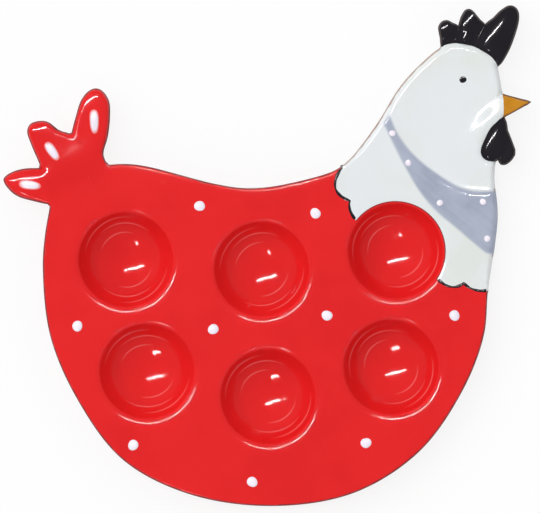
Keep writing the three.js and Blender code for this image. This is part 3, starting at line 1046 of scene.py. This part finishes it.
def lay_stroke(name):
    """A brush stroke that starts full and runs out thin."""
    low, high = corners(name)
    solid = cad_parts[name].data
    flat = np.array([v.co[:2] for v in solid.vertices]) / MM
    centre = (low + high)[:2] / 2
    spread = np.linalg.svd(flat - centre, full_matrices=False)[2][0]
    spread = spread * np.sign(spread @ (centre - TAIL_ROOT))
    length = np.ptp(flat @ spread) / 2
    side = np.array([-spread[1], spread[0]])
    width = np.ptp(flat @ side) / 2
    disc, triangles = DISC
    reach = np.linalg.norm(disc, axis=1)
    way = np.arctan2(disc[:, 1], disc[:, 0])
    blunt = disc / (abs(np.cos(way)) ** 2.5 + abs(np.sin(way)) ** 2.5)[:, None] ** 0.4
    taper = 1 + 0.12 * blunt[:, 0]
    points = centre + np.outer(blunt[:, 0] * length, spread) + np.outer(blunt[:, 1] * width * taper, side)
    thin = eased((reach - 0.6) / 0.4)
    thickness = STROKE_HEIGHT * (1 - reach ** 2) + 0.03
    lay(name, "white_slip", points, triangles, thickness, {"thin": thin})


for i in range(1, 10):
    lay_drop(f"body_dot_{i}", "white_slip", BODY_DOT_HEIGHT, 1.7 * i)
for i in range(1, 6):
    lay_drop(f"neckerchief_dot_{i}", "white_slip", SCARF_DOT_HEIGHT, 2.3 * i)
lay_drop("eye", "black_glaze", EYE_HEIGHT, 0.8)
for part in ("upper", "middle", "lower"):
    lay_stroke(f"feather_stroke_{part}")


def neck_joints():
    """The lines along which the neck is luted to the body, each from the rim to the egg cup."""
    lines = []
    for loop, beside in zip(outlines["body_plate"], neighbours["body_plate"]):
        joined = beside == "neck_and_head"
        if not joined.any():
            continue
        begin = int(np.flatnonzero(~joined)[0])
        loop, joined = np.roll(loop, -begin, 0), np.roll(joined, -begin)
        starts = np.flatnonzero(joined & ~np.roll(joined, 1))
        ends = np.flatnonzero(joined & ~np.roll(joined, -1))
        lines += [loop[a:b + 1] for a, b in zip(starts, ends)]
    return sorted(lines, key=lambda line: -line[:, 1].mean())


def lay_line(name, path):
    """A painted line along a path, broader where the brush slowed down."""
    along = np.gradient(path, axis=0)
    along /= np.linalg.norm(along, axis=1)[:, None]
    side = np.c_[-along[:, 1], along[:, 0]]
    run = np.concatenate([[0], np.cumsum(np.linalg.norm(np.diff(path, axis=0), axis=1))])
    half = 0.5 * NECK_LINE_WIDTH * (1 + 0.2 * np.sin(0.55 * run + 0.4) + 0.12 * np.sin(1.3 * run))
    steps = np.linspace(-1, 1, 7)
    points = (path[:, None] + side[:, None] * half[:, None, None] * steps[None, :, None]).reshape(-1, 2)
    thickness = np.tile(NECK_LINE_HEIGHT * (1 - steps ** 2) + 0.02, len(path))
    triangles = []
    for k in range(len(path) - 1):
        for i in range(6):
            a, b = 7 * k + i, 7 * (k + 1) + i
            triangles += [(a, b, b + 1), (a, b + 1, a + 1)]
    tags = {"edge": np.zeros(len(points)), "pool": np.zeros(len(points))}
    lay(name, "black_glaze", points, np.array(triangles), thickness, tags)


for name, path in zip(("neck_line_upper", "neck_line_lower"), neck_joints()):
    lay_line(name, path)


def lay_scarf():
    """The neckerchief: a wash over the neck's glaze that fades out at its edges."""
    shape, triangles = tops["neck_and_head"]
    depth = scarf_depth(shape[:, :2])
    triangles = triangles[(depth[triangles] > -SCARF_FADE).all(1)]
    a, b, c = (shape[triangles[:, k]] for k in range(3))
    faces = np.cross(b - a, c - a)
    normals = np.zeros_like(shape)
    for k in range(3):
        np.add.at(normals, triangles[:, k], faces)
    used = np.unique(triangles)
    fresh = np.full(len(shape), -1)
    fresh[used] = np.arange(len(used))
    normals = normals[used] / np.linalg.norm(normals[used], axis=1)[:, None]
    thickness = SCARF_THIN + SCARF_THICK * eased((depth[used] + 0.5) / 2)
    upper = shape[used] + normals * thickness[:, None]
    lower = shape[used] - normals * 0.2
    wash = eased((depth[used] + SCARF_FADE / 2) / SCARF_FADE)
    away = distance(shape[used, :2], RIM)
    tags = {"wash": wash, "edge": np.exp(-away / EDGE_TONE_FADE), "pool": 0 * wash}
    both = {tag: np.concatenate([values, values]) for tag, values in tags.items()}
    sheet_faces = shell_faces(fresh[triangles], len(used), np.zeros(len(used), bool))
    make_piece("neckerchief", np.vstack([upper, lower]), sheet_faces, "grey_glaze", both, 75)


lay_scarf()


# Table, light and camera

def make_table():
    """A pale table top under the dish, seen as white, with the dish's shadow on it."""
    mesh = bpy.data.meshes.new("table_top")
    reach = 4.0
    ends = [(-reach, -reach, 0), (reach, -reach, 0), (reach, reach, 0), (-reach, reach, 0)]
    mesh.from_pydata(ends, [], [(0, 1, 2, 3)])
    material = bpy.data.materials.new("table_white")
    material.use_nodes = True
    nodes = Nodes(material.node_tree)
    paint = material.node_tree.nodes["Principled BSDF"]
    paint.inputs["Roughness"].default_value = 0.9
    paint.inputs["Specular IOR Level"].default_value = 0.1
    place = nodes.add("ShaderNodeTexCoord").outputs["Object"]
    tint = nodes.mix(nodes.noise(place, 6, 2.0), (0.9, 0.9, 0.9, 1), (0.93, 0.93, 0.925, 1))
    nodes.link(tint, paint.inputs["Base Color"])
    glow = nodes.add("ShaderNodeEmission")
    rays = nodes.add("ShaderNodeLightPath")
    share = nodes.combine("MULTIPLY", rays.outputs["Is Camera Ray"], 0.85)
    blend = nodes.add("ShaderNodeMixShader")
    nodes.link(share, blend.inputs["Fac"])
    nodes.link(paint.outputs["BSDF"], blend.inputs[1])
    nodes.link(glow.outputs["Emission"], blend.inputs[2])
    nodes.link(blend.outputs["Shader"], material.node_tree.nodes["Material Output"].inputs["Surface"])
    mesh.materials.append(material)
    table = bpy.data.objects.new("table_top", mesh)
    bpy.context.scene.collection.objects.link(table)


def make_room():
    """Soft light from all round, dim where the glaze mirrors it, white where the camera sees it."""
    world = bpy.data.worlds.new("room")
    world.use_nodes = True
    bpy.context.scene.world = world
    nodes = Nodes(world.node_tree)
    sky = world.node_tree.nodes["Background"]
    place = nodes.add("ShaderNodeTexCoord").outputs["Generated"]
    split = nodes.add("ShaderNodeSeparateXYZ")
    nodes.link(place, split.inputs["Vector"])
    overhead = nodes.band(split.outputs["Z"], 0.88, 0.98)
    facing = nodes.add("ShaderNodeVectorMath", operation="DOT_PRODUCT")
    facing.inputs[1].default_value = (-0.77, 0.64, 0.0)
    nodes.link(place, facing.inputs[0])
    lit = nodes.band(facing.outputs["Value"], -0.7, 0.7)
    walls = nodes.mix(lit, (0.55, 0.55, 0.56, 1), (0.85, 0.85, 0.86, 1))
    tone = nodes.mix(overhead, walls, (0.12, 0.12, 0.13, 1))
    rays = nodes.add("ShaderNodeLightPath")
    tone = nodes.mix(rays.outputs["Is Glossy Ray"], tone, (0.2, 0.2, 0.21, 1))
    seen = nodes.mix(rays.outputs["Is Camera Ray"], tone, (1, 1, 1, 1))
    nodes.link(seen, sky.inputs["Color"])


def hang_lamp(name, place, size, power, turn=0.0, mirrored=True):
    """A rectangular lamp that looks at the dish, with or without its image in the glaze."""
    light = bpy.data.lights.new(name, "AREA")
    light.shape = "RECTANGLE"
    light.size, light.size_y = size
    light.energy = power
    lamp = bpy.data.objects.new(name, light)
    lamp.location = place
    lamp.visible_glossy = mirrored
    way = Vector(place)
    lamp.rotation_mode = "QUATERNION"
    upright = Vector((0, 0, 1))
    lamp.rotation_quaternion = upright.rotation_difference(way) @ Quaternion(upright, turn)
    bpy.context.scene.collection.objects.link(lamp)


make_table()
make_room()
hang_lamp("ceiling_tube", (-0.75, 0.9, 8.0), (2.8, 0.08), 95.0, math.radians(14))
hang_lamp("side_bulb", (-1.05, -2.98, 8.0), (0.65, 0.5), 30.0)
hang_lamp("window", (-3.6, 2.7, 6.5), (6.0, 6.0), 215.0, mirrored=False)

# The camera looks straight down from far off, in metres, at the stretch of table that the picture shows
PHOTO_WIDTH = 0.2565
PHOTO_CENTRE = (0.001425, -0.000475)
CAMERA_HEIGHT = 5.0
camera = bpy.data.objects.new("camera", bpy.data.cameras.new("camera"))
camera.data.sensor_width = 36.0
camera.data.lens = 36.0 * CAMERA_HEIGHT / PHOTO_WIDTH
camera.location = (*PHOTO_CENTRE, CAMERA_HEIGHT + MIDDLE * MM)
bpy.context.scene.collection.objects.link(camera)
bpy.context.scene.camera = camera
bpy.context.scene.view_settings.view_transform = "Standard"
